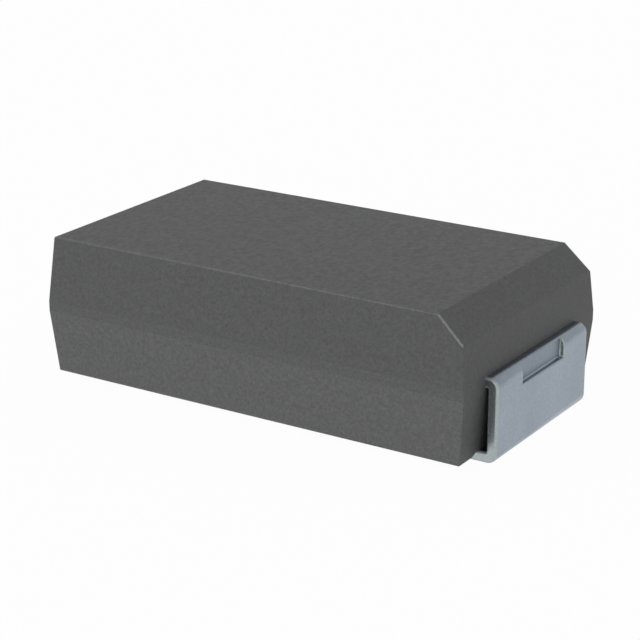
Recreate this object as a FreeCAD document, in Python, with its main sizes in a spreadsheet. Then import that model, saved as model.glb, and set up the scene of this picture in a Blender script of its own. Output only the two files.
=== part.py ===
import FreeCAD, Part
import os
import Sketcher

# Moulded surface-mount tantalum capacitor, 6.0 mm long and 3.2 mm wide, low profile.
# The origin is the centre of the footprint on the soldering plane. +X points to the anode
# (bevelled) end, +Y across the case and +Z up.

os.makedirs("parts", exist_ok=True)
doc = FreeCAD.newDocument("TantalumCapacitor")
sizes = doc.addObject("Spreadsheet::Sheet", "sizes")
places = doc.addObject("Spreadsheet::Sheet", "places")

# Driving dimensions in millimetres, and the draft in degrees
DRIVING = {
    # outside of the case
    "overall_length": 6.0,
    "end_gap": 0.033,
    "case_width": 3.2,
    "case_height": 1.705,
    "draft_angle": 5.0,
    "polarity_bevel": 0.30,
    "band_drop": 0.012,
    "edge_round": 0.02,
    # folded lead frame strips
    "strip_thickness": 0.127,
    "strip_width": 2.225,
    "strip_edge": 0.015,
    "exit_height": 1.004,
    "foot_length": 1.3,
    "upper_bend": 0.015,
    "upper_round": 0.122,
    "lower_bend": 0.02,
    "lower_round": 0.125,
    "relief_width": 1.03,
    "relief_drop": 0.243,
    "relief_depth": 0.064,
    # seats for the feet in the underside of the case
    "seat_depth": 0.043,
    "seat_side_gap": 0.05,
    "seat_slope_run": 0.11,
    "seat_end_gap": 0.10,
    # lead frame inside the case
    "shoulder_reach": 0.30,
    "joggle_gap": 0.05,
    "joggle_run": 0.15,
    "tongue_width": 1.2,
    "tongue_gap": 0.25,
    "riser_gap": 0.12,
    "riser_bend": 0.05,
    "tray_width": 1.9,
    "tray_length": 1.9,
    # resin left round the element
    "floor_wall": 0.20,
    "top_wall": 0.20,
    "side_wall": 0.29,
    "element_gap": 0.10,
    "anode_room": 1.49,
    # the element
    "pellet_round": 0.08,
    "manganese_thickness": 0.04,
    "graphite_thickness": 0.03,
    "silver_thickness": 0.04,
    "graphite_setback": 0.10,
    "silver_setback": 0.10,
    "bond_thickness": 0.03,
    "bond_margin": 0.10,
    "wire_diameter": 0.24,
    "wire_tip_cover": 1.0,
    "wire_sink": 0.03,
    "weld_margin": 0.05,
    "washer_diameter": 0.70,
    "washer_thickness": 0.15,
}

# Places that follow from the driving dimensions: distances from the centre along X,
# distances from the centre line along Y, and heights above the soldering plane
DERIVED = {
    "terminal_face": "sizes.overall_length / 2",
    "terminal_back": "terminal_face - sizes.strip_thickness",
    "foot_end": "terminal_face - sizes.foot_length",
    "seat_end": "foot_end - sizes.seat_end_gap",
    "case_end": "terminal_back - sizes.end_gap",
    "case_side": "sizes.case_width / 2",
    "case_bottom": "sizes.strip_thickness - sizes.seat_depth",
    "case_top": "case_bottom + sizes.case_height",
    "exit_underside": "sizes.exit_height - sizes.strip_thickness",
    "band_top": "sizes.exit_height - sizes.band_drop",
    "band_bottom": "band_top - sizes.strip_thickness",
    "upper_height": "case_top - band_top",
    "lower_height": "band_bottom - case_bottom",
    "strip_side": "sizes.strip_width / 2",
    "relief_face": "terminal_face - sizes.relief_depth",
    "relief_side": "sizes.relief_width / 2",
    "relief_bottom": "sizes.exit_height - sizes.relief_drop",
    "relief_top": "sizes.exit_height + sizes.strip_thickness",
    "seat_side": "strip_side + sizes.seat_side_gap",
    "seat_mouth": "seat_side + sizes.seat_slope_run",
    "shoulder": "case_end - sizes.shoulder_reach",
    "joggle_out": "shoulder - sizes.joggle_gap",
    "joggle_in": "joggle_out - sizes.joggle_run",
    "riser_outside": "shoulder - sizes.riser_gap",
    "riser_inside": "riser_outside - sizes.strip_thickness",
    "tray_bottom": "case_bottom + sizes.floor_wall",
    "tray_top": "tray_bottom + sizes.strip_thickness",
    "tray_end": "riser_inside - sizes.tray_length",
    "silver_end": "riser_inside - sizes.element_gap",
    "silver_side": "case_side - sizes.side_wall",
    "silver_bottom": "tray_top + sizes.bond_thickness",
    "silver_top": "case_top - sizes.top_wall",
    "graphite_depth": "sizes.silver_thickness",
    "manganese_depth": "graphite_depth + sizes.graphite_thickness",
    "pellet_depth": "manganese_depth + sizes.manganese_thickness",
    "silver_round": "sizes.pellet_round + pellet_depth",
    "manganese_face": "case_end - sizes.anode_room",
    "pellet_face": "manganese_face - sizes.manganese_thickness",
    "graphite_face": "manganese_face - sizes.graphite_setback",
    "silver_face": "graphite_face - sizes.silver_setback",
    "bond_start": "silver_end - silver_round",
    "bond_end": "tray_end + sizes.bond_margin",
    "bond_side": "sizes.tray_width / 2 - sizes.bond_margin",
    "wire_height": "(silver_bottom + silver_top) / 2",
    "wire_start": "silver_end - pellet_depth - sizes.wire_tip_cover",
    "wire_end": "joggle_in - sizes.weld_margin",
    "washer_face": "manganese_face + sizes.washer_thickness",
    "tongue_tip": "washer_face + sizes.tongue_gap",
    "tongue_top": "wire_height - sizes.wire_diameter / 2 + sizes.wire_sink",
    "tongue_bottom": "tongue_top - sizes.strip_thickness",
}


def fill_sheet(sheet, cells, prefix):
    """Write one named cell to a row of the sheet."""
    for row, (alias, content) in enumerate(cells.items(), start=1):
        sheet.set(f"A{row}", alias)
        sheet.set(f"B{row}", f"{prefix}{content}")
        sheet.setAlias(f"B{row}", alias)


fill_sheet(sizes, DRIVING, "")
fill_sheet(places, DERIVED, "=")
doc.recompute()


def value(expression):
    """Return what an expression comes to."""
    return float(sizes.evalExpression(expression))


def origin_plane(body, role):
    """Return one of a body's own origin planes, ready to attach to."""
    plane = next(feature for feature in body.Origin.OriginFeatures if feature.Role == role)
    return (plane, [""])


def new_sketch(body, name, role, offset="0"):
    """Add an empty sketch on an origin plane, moved along the plane's normal."""
    sketch = body.newObject("Sketcher::SketchObject", name)
    sketch.AttachmentSupport = origin_plane(body, role)
    sketch.MapMode = "FlatFace"
    sketch.setExpression("AttachmentOffset.Base.z", offset)
    return sketch


def bind_constraint(sketch, constraint, expression):
    """Add a constraint whose size follows an expression."""
    number = sketch.addConstraint(constraint)
    sketch.setExpression(f"Constraints[{number}]", expression)


def draw_outline(sketch, corners):
    """Draw a closed outline of straight lines through corners given as pairs of expressions."""
    points = [FreeCAD.Vector(value(across), value(up), 0) for across, up in corners]
    count = len(points)
    for index in range(count):
        sketch.addGeometry(Part.LineSegment(points[index], points[(index + 1) % count]), False)
    for index in range(count):
        sketch.addConstraint(Sketcher.Constraint("Coincident", index, 2, (index + 1) % count, 1))
    for index, (across, up) in enumerate(corners):
        bind_constraint(sketch, Sketcher.Constraint("DistanceX", index, 1, value(across)), across)
        bind_constraint(sketch, Sketcher.Constraint("DistanceY", index, 1, value(up)), up)


def draw_rectangle(sketch, left, right, bottom, top):
    """Draw a rectangle between two expressions across and two up."""
    draw_outline(sketch, [(left, bottom), (right, bottom), (right, top), (left, top)])


def draw_circle(sketch, diameter, up):
    """Draw a circle centred on the sketch's vertical axis at a height."""
    centre = FreeCAD.Vector(0, value(up), 0)
    circle = sketch.addGeometry(Part.Circle(centre, FreeCAD.Vector(0, 0, 1), value(diameter) / 2), False)
    bind_constraint(sketch, Sketcher.Constraint("Diameter", circle, value(diameter)), diameter)
    sketch.addConstraint(Sketcher.Constraint("PointOnObject", circle, 3, -2))
    bind_constraint(sketch, Sketcher.Constraint("DistanceY", circle, 3, value(up)), up)


def pad(body, name, sketch, length, both_ways=False):
    """Pad a sketch along its normal, or half of the length to each side."""
    feature = body.newObject("PartDesign::Pad", name)
    feature.Profile = sketch
    feature.setExpression("Length", length)
    if both_ways:
        feature.SideType = "Symmetric"
    return feature


def cut_along_normal(body, name, sketch, length):
    """Pocket a sketch in the direction of its normal and make sure that material went."""
    doc.recompute()
    before = body.Tip.Shape.Volume
    feature = body.newObject("PartDesign::Pocket", name)
    feature.Profile = sketch
    feature.Reversed = True
    feature.setExpression("Length", length)
    doc.recompute()
    if feature.Shape.Volume >= before:
        raise RuntimeError(f"{name} removes nothing")
    return feature


def edges_where(feature, test):
    """Name the edges of a feature whose two ends pass a test together."""
    names = []
    for number, edge in enumerate(feature.Shape.Edges, start=1):
        ends = [vertex.Point for vertex in edge.Vertexes]
        if len(ends) == 2 and test(*ends):
            names.append(f"Edge{number}")
    if not names:
        raise RuntimeError(f"no edge of {feature.Label} passes the test")
    return names


def round_edges(body, name, radius, test):
    """Fillet the edges of a body's last feature that pass a test."""
    doc.recompute()
    base = body.Tip
    fillet = body.newObject("PartDesign::Fillet", name)
    fillet.Base = (base, edges_where(base, test))
    fillet.setExpression("Radius", radius)
    return fillet


def same(first, second):
    """Tell whether two lengths are the same."""
    return abs(first - second) < 1e-6


def round_corner(body, name, radius, across, up):
    """Fillet the edge that runs along Y through one corner of a strip's side view."""

    def at_corner(first, second):
        return all(same(end.x, value(across)) and same(end.z, value(up)) for end in (first, second))

    return round_edges(body, name, radius, at_corner)


def drafted_half(body, name, parting, height, downwards):
    """Add one half of the case, which narrows by the draft from its parting plane."""
    half = body.newObject("PartDesign::AdditiveWedge", name)
    half.AttachmentSupport = origin_plane(body, "XY_Plane")
    half.MapMode = "FlatFace"
    # the wedge narrows along its own Y axis, which is turned to point up or down
    turn = FreeCAD.Rotation(FreeCAD.Vector(1, 0, 0), -90 if downwards else 90)
    half.AttachmentOffset = FreeCAD.Placement(FreeCAD.Vector(0, 0, 0), turn)
    half.setExpression("AttachmentOffset.Base.z", parting)
    inset = f"{height} * tan(sizes.draft_angle)"
    limits = {
        "Xmin": "-places.case_end",
        "Xmax": "places.case_end",
        "Ymin": "0",
        "Ymax": height,
        "Zmin": "-places.case_side",
        "Zmax": "places.case_side",
        "X2min": f"-places.case_end + {inset}",
        "X2max": f"places.case_end - {inset}",
        "Z2min": f"-places.case_side + {inset}",
        "Z2max": f"places.case_side - {inset}",
    }
    for limit, expression in limits.items():
        half.setExpression(limit, expression)
    return half


def make_case_form():
    """Make the outside of the moulded case, still solid inside."""
    body = doc.addObject("PartDesign::Body", "case_form")

    # parting band, as high as the lead frame is thick, a little lower than the strips
    band_outline = new_sketch(body, "band_outline", "XY_Plane", "places.band_bottom")
    draw_rectangle(band_outline, "-places.case_end", "places.case_end", "-places.case_side", "places.case_side")
    pad(body, "parting_band", band_outline, "sizes.strip_thickness")
    drafted_half(body, "upper_half", "places.band_top", "places.upper_height", False)
    drafted_half(body, "lower_half", "places.band_bottom", "places.lower_height", True)

    # bevel along the top edge of the anode end
    doc.recompute()
    top = value("places.case_top")
    bottom = value("places.case_bottom")

    def anode_top_edge(first, second):
        return same(first.z, top) and same(second.z, top) and min(first.x, second.x) > 0

    base = body.Tip
    bevel = body.newObject("PartDesign::Chamfer", "polarity_bevel")
    bevel.Base = (base, edges_where(base, anode_top_edge))
    bevel.setExpression("Size", "sizes.polarity_bevel")

    # rounds along the bottom, the top and the two sloping sides of the bevel
    def rounded(first, second):
        low, high = sorted((first.z, second.z))
        at_anode_end = min(first.x, second.x) > 0
        if same(low, high):
            return same(low, bottom) or (same(low, top) and not at_anode_end)
        return same(high, top) and at_anode_end

    round_edges(body, "edge_rounds", "sizes.edge_round", rounded)

    # shallow seats for the feet, with sloping sides
    seat_outline = new_sketch(body, "foot_seat_outline", "YZ_Plane", "places.seat_end")
    draw_outline(
        seat_outline,
        [
            ("-places.seat_mouth", "0"),
            ("places.seat_mouth", "0"),
            ("places.seat_mouth", "places.case_bottom"),
            ("places.seat_side", "sizes.strip_thickness"),
            ("-places.seat_side", "sizes.strip_thickness"),
            ("-places.seat_mouth", "places.case_bottom"),
        ],
    )
    seat = cut_along_normal(body, "foot_seat", seat_outline, "places.terminal_face - places.seat_end")
    mirrored = body.newObject("PartDesign::Mirrored", "foot_seats")
    mirrored.Originals = [seat]
    mirrored.MirrorPlane = origin_plane(body, "YZ_Plane")
    body.Tip = mirrored
    return body


def make_strip(label, sign):
    """Make the folded outside of a terminal: arm, upright and foot, at the side of the sign."""
    body = doc.addObject("PartDesign::Body", label)
    outline = new_sketch(body, f"{label}_strip_outline", "XZ_Plane")
    draw_outline(
        outline,
        [
            (f"{sign}places.shoulder", "sizes.exit_height"),
            (f"{sign}places.terminal_face", "sizes.exit_height"),
            (f"{sign}places.terminal_face", "0"),
            (f"{sign}places.foot_end", "0"),
            (f"{sign}places.foot_end", "sizes.strip_thickness"),
            (f"{sign}places.terminal_back", "sizes.strip_thickness"),
            (f"{sign}places.terminal_back", "places.exit_underside"),
            (f"{sign}places.shoulder", "places.exit_underside"),
        ],
    )
    pad(body, f"{label}_strip", outline, "sizes.strip_width", both_ways=True)
    return body


def bend_strip(body, sign):
    """Round the two folds of a terminal, inside and outside; they are pressed square, so the outside is tight."""
    face = f"{sign}places.terminal_face"
    back = f"{sign}places.terminal_back"
    round_corner(body, f"{body.Label}_upper_outside", "sizes.upper_round", face, "sizes.exit_height")
    round_corner(body, f"{body.Label}_upper_inside", "sizes.upper_bend", back, "places.exit_underside")
    round_corner(body, f"{body.Label}_lower_outside", "sizes.lower_round", face, "0")
    round_corner(body, f"{body.Label}_lower_inside", "sizes.lower_bend", back, "sizes.strip_thickness")


def break_edges(body, is_rim):
    """Chamfer the edges that the stamping leaves along the sides of a strip and where a test says."""
    side = value("places.strip_side")

    def stamped(first, second):
        along_side = same(first.y, second.y) and same(abs(first.y), side)
        return along_side or is_rim(first, second)

    doc.recompute()
    base = body.Tip
    broken = body.newObject("PartDesign::Chamfer", f"{body.Label}_edges")
    broken.Base = (base, edges_where(base, stamped))
    broken.setExpression("Size", "sizes.strip_edge")


def make_anode_terminal():
    """Make the terminal of the bevelled end, with its weld tongue and the relief in its top fold."""
    body = make_strip("anode_terminal", "")

    # tongue inside the case, set down so that the wire lies on it
    outline = new_sketch(body, "tongue_outline", "XZ_Plane")
    draw_outline(
        outline,
        [
            ("places.shoulder", "sizes.exit_height"),
            ("places.joggle_out", "sizes.exit_height"),
            ("places.joggle_in", "places.tongue_top"),
            ("places.tongue_tip", "places.tongue_top"),
            ("places.tongue_tip", "places.tongue_bottom"),
            ("places.joggle_in", "places.tongue_bottom"),
            ("places.joggle_out", "places.exit_underside"),
            ("places.shoulder", "places.exit_underside"),
        ],
    )
    pad(body, "weld_tongue", outline, "sizes.tongue_width", both_ways=True)
    bend_strip(body, "")

    # groove that the wire is welded into
    groove = new_sketch(body, "wire_groove_outline", "YZ_Plane", "places.tongue_tip")
    draw_circle(groove, "sizes.wire_diameter", "places.wire_height")
    cut_along_normal(body, "wire_groove", groove, "places.wire_end - places.tongue_tip")

    # relief, about half of the strip's thickness deep, which runs up over the top fold
    relief = new_sketch(body, "relief_outline", "YZ_Plane", "places.relief_face")
    draw_rectangle(
        relief, "-places.relief_side", "places.relief_side", "places.relief_bottom", "places.relief_top"
    )
    cut_along_normal(body, "fold_relief", relief, "sizes.strip_thickness")
    face = value("places.terminal_face")
    floor = value("places.relief_face")
    ledge = value("places.relief_bottom")
    wall = value("places.relief_side")

    def relief_rim(first, second):
        if same(first.z, ledge) and same(second.z, ledge):
            return same(first.x, face) and same(second.x, face)
        on_wall = same(first.y, second.y) and same(abs(first.y), wall)
        return on_wall and max(first.x, second.x) > floor + (face - floor) / 2

    break_edges(body, relief_rim)
    return body


def make_cathode_terminal():
    """Make the terminal of the plain end, which steps down into a tray under the element."""
    body = make_strip("cathode_terminal", "-")
    outline = new_sketch(body, "tray_outline", "XZ_Plane")
    draw_outline(
        outline,
        [
            ("-places.shoulder", "sizes.exit_height"),
            ("-places.riser_inside", "sizes.exit_height"),
            ("-places.riser_inside", "places.tray_top"),
            ("-places.tray_end", "places.tray_top"),
            ("-places.tray_end", "places.tray_bottom"),
            ("-places.riser_outside", "places.tray_bottom"),
            ("-places.riser_outside", "places.exit_underside"),
            ("-places.shoulder", "places.exit_underside"),
        ],
    )
    pad(body, "element_tray", outline, "sizes.tray_width", both_ways=True)
    bend_strip(body, "-")
    inside = "sizes.riser_bend"
    outside = "sizes.riser_bend + sizes.strip_thickness"
    round_corner(body, "riser_top_outside", outside, "-places.riser_inside", "sizes.exit_height")
    round_corner(body, "riser_top_inside", inside, "-places.riser_outside", "places.exit_underside")
    round_corner(body, "riser_foot_inside", inside, "-places.riser_inside", "places.tray_top")
    round_corner(body, "riser_foot_outside", outside, "-places.riser_outside", "places.tray_bottom")
    break_edges(body, lambda first, second: False)
    return body


def make_element_block(label, depth, face, open_face):
    """Make the rounded block that one layer of the element fills, at a depth below the silver."""
    body = doc.addObject("PartDesign::Body", label)
    outline = new_sketch(body, f"{label}_outline", "YZ_Plane", f"{depth} - places.silver_end")
    draw_rectangle(
        outline,
        f"{depth} - places.silver_side",
        f"places.silver_side - ({depth})",
        f"places.silver_bottom + {depth}",
        f"places.silver_top - ({depth})",
    )
    pad(body, f"{label}_pad", outline, f"{face} + places.silver_end - ({depth})")
    rim = value(face)

    def rounded(first, second):
        return not (open_face and same(first.x, rim) and same(second.x, rim))

    round_edges(body, f"{label}_rounds", f"places.silver_round - ({depth})", rounded)
    return body


def make_rod(label, diameter, start, end):
    """Make a round rod on the wire's axis between two places along X."""
    body = doc.addObject("PartDesign::Body", label)
    outline = new_sketch(body, f"{label}_outline", "YZ_Plane", start)
    draw_circle(outline, diameter, "places.wire_height")
    pad(body, f"{label}_pad", outline, f"{end} - ({start})")
    return body


def make_washer():
    """Make the insulating ring that slips over the wire against the element."""
    body = doc.addObject("PartDesign::Body", "wire_washer")
    outline = new_sketch(body, "washer_outline", "YZ_Plane", "places.manganese_face")
    draw_circle(outline, "sizes.washer_diameter", "places.wire_height")
    draw_circle(outline, "sizes.wire_diameter", "places.wire_height")
    pad(body, "washer_pad", outline, "sizes.washer_thickness")
    return body


def make_bond():
    """Make the layer of conductive adhesive between the element and the tray."""
    body = doc.addObject("PartDesign::Body", "silver_bond")
    outline = new_sketch(body, "bond_outline", "XY_Plane", "places.tray_top")
    draw_rectangle(
        outline, "-places.bond_start", "-places.bond_end", "-places.bond_side", "places.bond_side"
    )
    pad(body, "bond_pad", outline, "sizes.bond_thickness")
    return body


def fuse(label, shapes):
    """Join several pieces into one tool."""
    joined = doc.addObject("Part::MultiFuse", label)
    joined.Shapes = shapes
    return joined


def cut(label, base, tool):
    """Make a piece as one solid less another."""
    piece = doc.addObject("Part::Cut", label)
    piece.Base = base
    piece.Tool = tool
    return piece


# Outside pieces
case_form = make_case_form()
anode_terminal = make_anode_terminal()
cathode_terminal = make_cathode_terminal()

# Blocks that the layers of the element fill, from the pellet out
pellet_block = make_element_block("pellet_block", "places.pellet_depth", "places.pellet_face", False)
manganese_block = make_element_block(
    "manganese_block", "places.manganese_depth", "places.manganese_face", False
)
graphite_block = make_element_block("graphite_block", "places.graphite_depth", "places.graphite_face", True)
silver_block = make_element_block("silver_block", "0", "places.silver_face", True)

# Pieces of the element
anode_wire = make_rod("anode_wire", "sizes.wire_diameter", "-places.wire_start", "places.wire_end")
wire_washer = make_washer()
silver_bond = make_bond()
tantalum_pellet = cut("tantalum_pellet", pellet_block, anode_wire)
manganese_coat = cut("manganese_coat", manganese_block, fuse("pellet_and_wire", [pellet_block, anode_wire]))
graphite_coat = cut("graphite_coat", graphite_block, manganese_block)
silver_coat = cut("silver_coat", silver_block, graphite_block)

# The resin fills everything that the pieces inside leave free
inside = fuse(
    "inside_pieces",
    [
        anode_terminal,
        cathode_terminal,
        anode_wire,
        wire_washer,
        silver_bond,
        manganese_block,
        graphite_block,
        silver_block,
    ],
)
case = cut("case", case_form, inside)

PIECES = [
    case,
    anode_terminal,
    cathode_terminal,
    tantalum_pellet,
    anode_wire,
    wire_washer,
    manganese_coat,
    graphite_coat,
    silver_coat,
    silver_bond,
]

doc.recompute()
for item in doc.Objects:
    if {"Invalid", "Error"} & set(item.State):
        raise RuntimeError(f"{item.Label} could not be built")
for piece in PIECES:
    shape = piece.Shape
    if shape.isNull() or not shape.isValid() or len(shape.Solids) != 1:
        raise RuntimeError(f"{piece.Label} is not one valid solid")
for piece in PIECES:
    piece.Shape.exportStep(os.path.join("parts", f"{piece.Label}.step"))
    print(f"{piece.Label}: {piece.Shape.Volume:.4f} cubic millimetres")
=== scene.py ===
"""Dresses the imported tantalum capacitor: finer terminals, a finish for every piece, and a small photo studio."""

import math

import bmesh
import bpy
from bpy.props import FloatProperty, FloatVectorProperty, IntProperty, PointerProperty
from bpy.types import Operator, Panel, PropertyGroup
from mathutils import Matrix, Vector


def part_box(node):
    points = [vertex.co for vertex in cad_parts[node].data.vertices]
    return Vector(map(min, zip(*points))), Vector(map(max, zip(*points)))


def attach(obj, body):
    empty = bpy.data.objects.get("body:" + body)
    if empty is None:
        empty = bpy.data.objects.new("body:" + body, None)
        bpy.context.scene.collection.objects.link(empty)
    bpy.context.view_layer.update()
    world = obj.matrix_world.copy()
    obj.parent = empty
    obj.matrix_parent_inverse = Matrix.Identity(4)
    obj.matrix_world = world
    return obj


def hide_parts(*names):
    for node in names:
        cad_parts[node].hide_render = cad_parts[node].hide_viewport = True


bl_info = {
    "name": "Tantalum Capacitor",
    "version": (1, 0, 0),
    "blender": (4, 5, 0),
    "location": "3D View > Sidebar > Capacitor",
    "description": "Folds the terminals of a moulded tantalum capacitor and gives its pieces their finish",
    "category": "Object",
}

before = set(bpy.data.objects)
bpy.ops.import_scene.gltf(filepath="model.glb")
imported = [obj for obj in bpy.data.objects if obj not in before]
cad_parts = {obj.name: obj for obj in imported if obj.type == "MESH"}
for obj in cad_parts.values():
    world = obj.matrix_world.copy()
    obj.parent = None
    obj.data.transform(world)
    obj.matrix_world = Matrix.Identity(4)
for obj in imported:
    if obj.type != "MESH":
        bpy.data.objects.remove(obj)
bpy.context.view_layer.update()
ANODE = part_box("anode_terminal")
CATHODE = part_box("cathode_terminal")
MM = 0.001
# strips are drawn a thousand times larger, because bevels and Booleans lose edges of a few micrometres
DRAWN_LARGER = 1000.0
# points of a drawn strip are merged within the first of these, and along its seams within the second; what lies
# within the third of a plane is level with it
DRAWN_NEAR, DRAWN_SEAM, DRAWN_LEVEL = 1e-5, 1e-4, 1e-3
# edges that turn more than this are rounded
SHARP = math.radians(35)
# faces round the groove that the wire lies in
GROOVE_STEPS = 48
# how far a block that cuts a strip reaches past it
SPARE = 0.1 * MM
# how far a strip's corners may lie from those of its CAD solid
CAD_FIT = 0.005 * MM
# how far a rounded edge of the case reaches in from its top or its underside
EDGE_REACH = 0.03 * MM
# faces of one direction that add up to more than this are a flat of the case, not an edge
FLAT_AREA = 0.2 * MM**2
# a face is square to an axis where its unit normal has more than this along it
SQUARE = 0.999
# and it leans to the strip's side, as sheared edges and their rims do, where it has more than this across
ASIDE = 0.05
# nearly all of a noise texture's values lie between these
NOISE_SPAN = {"From Min": 0.3, "From Max": 0.7}
WHITE = (1.0, 1.0, 1.0, 1.0)
# the paper's half width, and its height just below the feet
PAPER_REACH, PAPER_HEIGHT = 0.4, -0.002 * MM
# height, as a share of straight up, from which the room's white horizon fades
HORIZON = -0.05
# each lamp's name, the setting for its power, its width and depth, and its place
LAMPS = (
    ("key_lamp", "key_power", 0.1, 0.1, (0.122, -0.16, 0.25)),
    ("left_lamp", "left_power", 0.2, 0.2, (-0.2, -0.22, 0.16)),
    ("front_lamp", "front_power", 0.25, 0.1, (-0.05, -0.31, 0.055)),
)


def from_hex(code):
    """Turn an sRGB hex colour into the linear one that Blender works in."""
    parts = [int(code[i : i + 2], 16) / 255 for i in (1, 3, 5)]
    return tuple(c / 12.92 if c <= 0.04045 else ((c + 0.055) / 1.055) ** 2.4 for c in parts)


def length(name, description, millimetres):
    """Describe one length that a user may change, kept in metres."""
    return FloatProperty(
        name=name, description=description, default=millimetres * MM, min=0, precision=5, step=0.001, unit="LENGTH"
    )


def colour(name, description, code):
    """Describe one colour that a user may change."""
    return FloatVectorProperty(
        name=name, description=description, default=from_hex(code), min=0, max=1, size=3, subtype="COLOR"
    )


def share(name, description, default, top=1.0):
    """Describe one plain number, such as a roughness."""
    return FloatProperty(name=name, description=description, default=default, min=0, max=top, precision=3)


def angle(name, description, degrees):
    """Describe one angle that a user may change."""
    return FloatProperty(name=name, description=description, default=math.radians(degrees), subtype="ANGLE")


def lamp_power(name, description, watts):
    """Describe the power of one lamp."""
    return FloatProperty(name=name, description=description, default=watts, min=0, precision=4, unit="POWER")


class TerminalSizes(PropertyGroup):
    """Sizes of the two folded terminals."""

    thickness: length("Strip thickness", "Thickness of the plated strip", 0.127)
    rim: length("Rim rounding", "Rounding that blanking and plating leave along the strip's sides", 0.028)
    foot_length: length("Foot length", "Length of each soldering foot, from the end face", 1.3)
    upper_bend: length("Upper bend", "Radius inside the fold at the case", 0.015)
    upper_round: length("Upper round", "Radius outside the fold at the case", 0.122)
    lower_bend: length("Lower bend", "Radius inside the fold at the foot", 0.02)
    lower_round: length("Lower round", "Radius outside the fold at the foot", 0.125)
    relief_width: length("Relief width", "Width of the relief in the anode's upper fold", 1.03)
    relief_drop: length("Relief drop", "How far the relief reaches below the top of the strip", 0.243)
    relief_depth: length("Relief depth", "How deep the relief is set into the strip", 0.064)
    relief_rim: length("Relief rim", "Rounding along the edges of the relief", 0.017)
    shoulder: length("Shoulder", "Where the strip narrows inside the case, from the middle", 2.54)
    tongue_width: length("Tongue width", "Width of the tongue that the wire is welded to", 1.2)
    wire_sink: length("Wire sink", "How deep the wire is let into the tongue", 0.03)
    joggle_start: length("Joggle start", "Where the tongue starts to drop, from the middle", 2.49)
    joggle_end: length("Joggle end", "Where the tongue is level again, from the middle", 2.34)
    tray_width: length("Tray width", "Width of the tray under the element", 1.9)
    riser: length("Riser", "Outer face of the riser that steps down to the tray, from the middle", 2.42)
    riser_bend: length("Riser bend", "Radius inside the two bends of the riser", 0.05)
    bend_steps: IntProperty(name="Bend steps", description="Faces along each bend", default=18, min=3, max=64)
    rim_steps: IntProperty(name="Rim steps", description="Faces across each rounded rim", default=4, min=1, max=12)


class Finishes(PropertyGroup):
    """Colours and textures of the finishes."""

    epoxy: colour("Epoxy", "Moulded epoxy of the case", "#595A5A")
    epoxy_dark: colour("Epoxy, dark grain", "Darker grains in the epoxy", "#484848")
    epoxy_grain: length("Epoxy grain", "Width of the filler's grains and of the mould's eroded grain", 0.016)
    side_contrast: share("Side contrast", "How much the filler's clusters show on the case's sides", 0.07)
    top_contrast: share("Top contrast", "How much the filler's clusters show on the case's flat top", 0.22)
    wiped: share("Wiped grain", "Width of the top's grain as a share of its length across the case", 0.7)
    epoxy_roughness: share("Epoxy roughness", "How matt the case is", 0.6)
    # painted light and shade: the long sides of the lower half, the middle band and the bevel are painted paler, and
    # the ends darker, for how the light falls on each face
    lower_half_painted_light: share("Lower half", "How much paler the long sides of the lower mould half are", 0.37)
    middle_band_painted_light: share("Middle band", "How much paler the band between the mould halves is on the long sides", 0.15)
    bevel: share("Bevel", "How much paler the polarity bevel is", 0.12)
    ends: share("Ends", "How much darker the ends are", 0.06)
    # painted highlight: the case's rounded outer edges are painted paler, most beside the bevel
    rubbed: share("Rubbed edges", "How much paler the rubbed edges of the bevel are", 1.4, 4.0)
    painted_highlight_outside: share("Rubbed outside", "How much of that the case's other outer edges get", 0.4)
    painted_highlight_roughness: share("Rubbed roughness", "How matt the rubbed edges are", 0.36)
    tin: colour("Tin plate", "Matt tin on the terminals", "#909AA4")
    tin_dull: colour("Tin plate, dull", "Duller patches of the tin", "#8A949F")
    tin_grain: length("Tin grain", "Width of the grains of the plating", 0.016)
    tin_roughness: share("Tin roughness", "How matt the tin is", 0.27)
    rim_roughness: share("Rim roughness", "How matt the tin is on the strip's rounded rims", 0.6)
    # the sheared colour is the cut faces' own, and on the rounded rims also a painted highlight; the rim gain is a
    # painted highlight
    sheared: colour("Sheared edge", "Cut and pressed edges of the strip", "#A7AFB1")
    # painted shade: the relief's floor is painted darker, for the shade in the recess
    pressed: share("Pressed floor", "How much darker the relief's pressed floor is", 0.04)
    pressed_roughness: share("Pressed roughness", "How matt the relief's pressed floor is", 0.5)
    rim_painted_highlight: share("Rim gain", "How much paler the strip's rounded rims are", 0.10)
    tantalum: colour("Sintered tantalum", "Pressed and sintered pellet", "#5B5E64")
    tantalum_pores: colour("Tantalum pores", "Depths of the pellet's pores", "#3D3F43")
    wire: colour("Tantalum wire", "Drawn wire", "#8E9199")
    wire_lines: colour("Wire lines", "Die lines along the wire", "#80838A")
    washer: colour("Washer", "White fluoropolymer washer", "#EDEDE8")
    washer_lines: colour("Washer lines", "Knife lines across the washer", "#E5E5E0")
    manganese: colour("Manganese dioxide", "Black coat round the pellet", "#26211F")
    manganese_crust: colour("Manganese crust", "Paler tips of the coat's crust", "#38312E")
    graphite: colour("Graphite", "Graphite coat", "#3C3C3F")
    graphite_dark: colour("Graphite, dark flakes", "Flakes turned away from the light", "#2E2E30")
    silver: colour("Silver paint", "Silver paint coat", "#C6C5C0")
    silver_thin: colour("Silver paint, thin", "Where the paint has run thin", "#B7B6B1")
    adhesive: colour("Silver adhesive", "Silver-filled adhesive under the element", "#A7A5A0")
    adhesive_dark: colour("Silver adhesive, dark", "Hollows between its lumps", "#8D8B87")


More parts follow.
